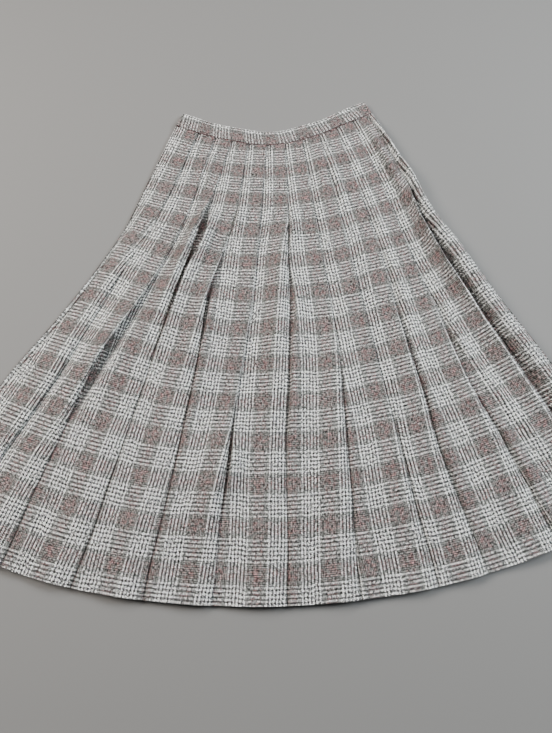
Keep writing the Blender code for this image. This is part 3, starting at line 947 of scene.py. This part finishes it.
def rowTree(name, shape, values, material):
    # Geometry Nodes: one small shape repeated along a line at an even spacing
    tree = bpy.data.node_groups.new(name, "GeometryNodeTree")
    tree.interface.new_socket("Geometry", in_out="INPUT", socket_type="NodeSocketGeometry")
    for label in ("Spacing", "Length", "Width", "Height", "Seed"):
        kind = "NodeSocketInt" if label == "Seed" else "NodeSocketFloat"
        socket = tree.interface.new_socket(label, in_out="INPUT", socket_type=kind)
        socket.default_value = values[label]
    tree.interface.new_socket("Geometry", in_out="OUTPUT", socket_type="NodeSocketGeometry")
    nodes = tree.nodes
    link = tree.links.new
    entry = nodes.new("NodeGroupInput")
    leave = nodes.new("NodeGroupOutput")
    curve = nodes.new("GeometryNodeMeshToCurve")
    resample = nodes.new("GeometryNodeResampleCurve")
    resample.mode = "LENGTH"
    link(entry.outputs["Geometry"], curve.inputs[0])
    link(curve.outputs[0], resample.inputs["Curve"])
    link(entry.outputs["Spacing"], resample.inputs["Length"])
    if shape == "thread":
        piece = nodes.new("GeometryNodeMeshIcoSphere")
        piece.inputs["Radius"].default_value = 1
        piece.inputs["Subdivisions"].default_value = 2
    else:
        piece = nodes.new("GeometryNodeMeshCube")
        piece.inputs["Size"].default_value = (2, 2, 2)
    size = nodes.new("ShaderNodeCombineXYZ")
    link(entry.outputs["Length"], size.inputs[0])
    link(entry.outputs["Width"], size.inputs[1])
    link(entry.outputs["Height"], size.inputs[2])
    tangent = nodes.new("GeometryNodeInputTangent")
    align = nodes.new("FunctionNodeAlignRotationToVector")
    align.axis = "X"
    link(tangent.outputs[0], align.inputs["Vector"])
    chance = nodes.new("FunctionNodeRandomValue")
    chance.data_type = "FLOAT"
    chance.inputs[2].default_value = unevenSize[0]
    chance.inputs[3].default_value = unevenSize[1]
    link(entry.outputs["Seed"], chance.inputs["Seed"])
    vary = nodes.new("ShaderNodeVectorMath")
    vary.operation = "SCALE"
    link(size.outputs[0], vary.inputs[0])
    link(chance.outputs[1], vary.inputs["Scale"])
    put = nodes.new("GeometryNodeInstanceOnPoints")
    link(resample.outputs[0], put.inputs["Points"])
    link(piece.outputs[0], put.inputs["Instance"])
    link(align.outputs[0], put.inputs["Rotation"])
    link(vary.outputs[0], put.inputs["Scale"])
    real = nodes.new("GeometryNodeRealizeInstances")
    link(put.outputs[0], real.inputs[0])
    finish = nodes.new("GeometryNodeSetMaterial")
    finish.inputs["Material"].default_value = material
    link(real.outputs[0], finish.inputs[0])
    link(finish.outputs[0], leave.inputs[0])
    return tree


def makeRow(name, points, tree):
    # The shapes along one line of points, as a plain mesh
    guide = bpy.data.meshes.new(name + "_line")
    edges = [(index, index + 1) for index in range(len(points) - 1)]
    guide.from_pydata([tuple(point) for point in points], edges, [])
    holder = bpy.data.objects.new(name + "_line", guide)
    collection.objects.link(holder)
    modifier = holder.modifiers.new("row", "NODES")
    modifier.node_group = tree
    shown = holder.evaluated_get(bpy.context.evaluated_depsgraph_get())
    mesh = bpy.data.meshes.new_from_object(shown)
    bpy.data.objects.remove(holder, do_unlink=True)
    mesh.name = name
    mesh.shade_smooth()
    item = bpy.data.objects.new(name, mesh)
    collection.objects.link(item)
    return item


# The stitched line in the waist seam; its dark colour is partly painted ditch shadow
def makeStitches(material):
    tree = rowTree("stitch_row", "thread", stitching, material)
    angle = np.linspace(stitching["reach"], -stitching["reach"], stitching["points"])
    pieces = []
    for side in ("front", "back"):
        away, height = stitching[side]
        points = fanPoints(angle, seamRadius(angle) + away, np.full(len(angle), height))
        pieces.append(makeRow("waist_stitches_and_ditch_shade_" + side, points, tree))
    return pieces


def makeTeeth(material):
    tree = rowTree("tooth_row", "tooth", teeth, material)
    share = np.linspace(teeth["top"], teeth["bottom"], teeth["points"])
    angle = smoothValue(shares, edgeAngles["sideRight"], share)
    radius = radiusAt(angle, share)
    inset = np.degrees(teeth["inset"] / radius)
    points = fanPoints(angle - inset, radius, np.full(len(share), teeth["z"]))
    return makeRow("zip_teeth", points, tree)


# Two large lamps at the sides, cool and warm, and one behind the waist
lamps = {
    "cool_right": {"place": (1.35, 0.25, 1.2), "target": (0.1, 0, 0), "size": 0.7, "power": 25.5,
                   "colour": (0.90, 0.96, 1.0)},
    "warm_left": {"place": (-1.35, 0.25, 1.2), "target": (-0.1, 0, 0), "size": 0.7, "power": 25,
                  "colour": (1.0, 0.93, 0.86)},
    "above": {"place": (0.0, 1.5, 1.8), "target": (0, 0, 0), "size": 0.9, "power": 20,
              "colour": (1.0, 0.97, 0.94)},
}


def makeLamp(name, lamp):
    data = bpy.data.lights.new(name, "AREA")
    data.shape = "SQUARE"
    data.size = lamp["size"]
    data.energy = lamp["power"]
    data.color = lamp["colour"]
    item = bpy.data.objects.new(name, data)
    item.location = lamp["place"]
    aim = Vector(lamp["target"]) - Vector(lamp["place"])
    item.rotation_euler = aim.to_track_quat("-Z", "Y").to_euler()
    collection.objects.link(item)


view = {
    "place": (-0.0054, -0.3684, 0.774),
    "tilt": 20.0,            # degrees from straight down
    "focalPixels": 552,
    "framePixels": 733,
    "sensor": 36.0,
    "near": 0.01,
}


def makeView():
    data = bpy.data.cameras.new("camera")
    data.sensor_width = view["sensor"]
    data.lens = view["sensor"] * view["focalPixels"] / view["framePixels"]
    data.clip_start = view["near"]
    item = bpy.data.objects.new("camera", data)
    item.location = view["place"]
    item.rotation_euler = (math.radians(view["tilt"]), 0, 0)
    collection.objects.link(item)
    bpy.context.scene.camera = item


studio = {
    "floor": (0.332, 0.33, 0.325, 1),
    "roughness": 0.95,
    "specular": 0.1,
    "reach": 4,
    "sky": (0.96, 0.98, 1.0, 1),
    "skyStrength": 0.05,
}


def makeStage():
    maker = MaterialMaker("pale_floor")
    maker.set(Base_Color=studio["floor"], Roughness=studio["roughness"],
              Specular_IOR_Level=studio["specular"])
    mesh = bpy.data.meshes.new("floor")
    far = studio["reach"]
    mesh.from_pydata([(-far, -far, 0), (far, -far, 0), (far, far, 0), (-far, far, 0)], [], [(0, 1, 2, 3)])
    mesh.materials.append(maker.material)
    floor = bpy.data.objects.new("floor", mesh)
    collection.objects.link(floor)
    world = bpy.data.worlds.new("studio")
    world.use_nodes = True
    background = world.node_tree.nodes["Background"]
    background.inputs[0].default_value = studio["sky"]
    background.inputs[1].default_value = studio["skyStrength"]
    bpy.context.scene.world = world
    for name, lamp in lamps.items():
        makeLamp(name, lamp)


makeView()
makeStage()
print("camera, floor and lights ready")

woolMaterial = checkMaterial("wool_glen_check", wool)
front = makeFront(woolMaterial)
print("front panel:", len(front.data.polygons), "faces")
back = makeBack(woolMaterial)
print("back panel:", len(back.data.polygons), "faces")
waist = makeWaistband(woolMaterial)
print("waistband:", len(waist.data.polygons), "faces")

# The thread colour here is partly painted shade of the waist seam's ditch
threadAndDitchShadeMaterial = plainMaterial("burgundy_thread_and_ditch_shade")
nylonMaterial = plainMaterial("zip_nylon_dark")
nickelMaterial = plainMaterial("nickel_plate")
stitches = makeStitches(threadAndDitchShadeMaterial)
zipTeeth = makeTeeth(nylonMaterial)
print("stitches and zip teeth placed")

for piece, node, slotName in ((front, "front_panel", "wool_check"), (back, "back_panel", "wool_check"),
                              (waist, "waistband", "waistband_check")):
    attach(piece, "root")
    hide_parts(node)
for piece in stitches:
    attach(piece, "root")
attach(zipTeeth, "root")
for node, material in (("zip_chain", nylonMaterial), ("zip_slider", nickelMaterial),
                       ("waist_hook", nickelMaterial), ("waist_bar", nickelMaterial)):
    bpy.data.objects[node].material_slots[0].material = material
print("pieces tied to the frame")
